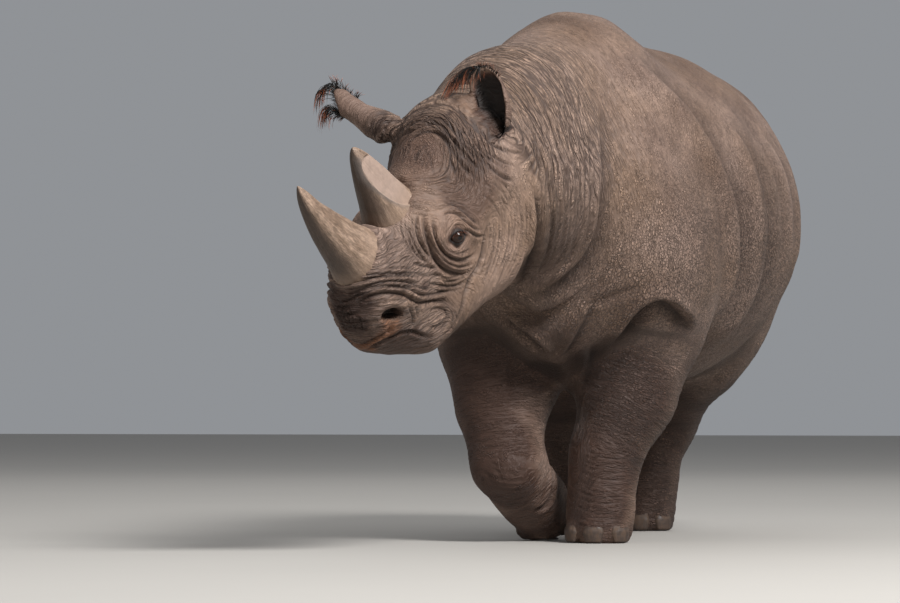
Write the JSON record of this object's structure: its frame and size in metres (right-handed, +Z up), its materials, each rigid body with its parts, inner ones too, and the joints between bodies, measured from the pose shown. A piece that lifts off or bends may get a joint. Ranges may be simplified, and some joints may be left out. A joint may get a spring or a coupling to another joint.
{
  "type": "black rhinoceros",
  "caption": "Life-size still figure of an adult black rhinoceros walking, head low and turned to her right, right forefoot folded back on its toe.",
  "frame": {"origin": "on the floor, under the middle of the whole figure's bounding box", "axes": "+Z up, -Y the way she walks, +X to her left"},
  "size_m": [1.086, 3.121, 1.5533],
  "materials": {
    "hide": "dry grey-brown hide, wrinkled, matte",
    "horn": "keratin, tan, rubbed smooth towards the tips",
    "nail": "keratin, dull grey-brown, dusty",
    "eye": "wet dark brown",
    "hair": "stiff black hair"
  },
  "bodies": {
    "root": {"front_horn": "horn", "rear_horn": "horn", "left_eye": "eye", "right_eye": "eye", "left_ear": "hide", "right_ear": "hide", "head": "hide", "neck": "hide", "left_fore_upper_leg": "hide", "left_fore_lower_leg": "hide", "left_fore_foot": "hide", "left_fore_nail_1": "nail", "left_fore_nail_2": "nail", "left_fore_nail_3": "nail", "right_fore_upper_leg": "hide", "right_fore_lower_leg": "hide", "right_fore_foot": "hide", "right_fore_nail_1": "nail", "right_fore_nail_2": "nail", "right_fore_nail_3": "nail", "left_hind_upper_leg": "hide", "left_hind_lower_leg": "hide", "left_hind_foot": "hide", "left_hind_nail_1": "nail", "left_hind_nail_2": "nail", "left_hind_nail_3": "nail", "right_hind_upper_leg": "hide", "right_hind_lower_leg": "hide", "right_hind_foot": "hide", "right_hind_nail_1": "nail", "right_hind_nail_2": "nail", "right_hind_nail_3": "nail", "tail": "hide", "tail_tuft": "hair", "trunk": "hide"}
  },
  "joints": []
}
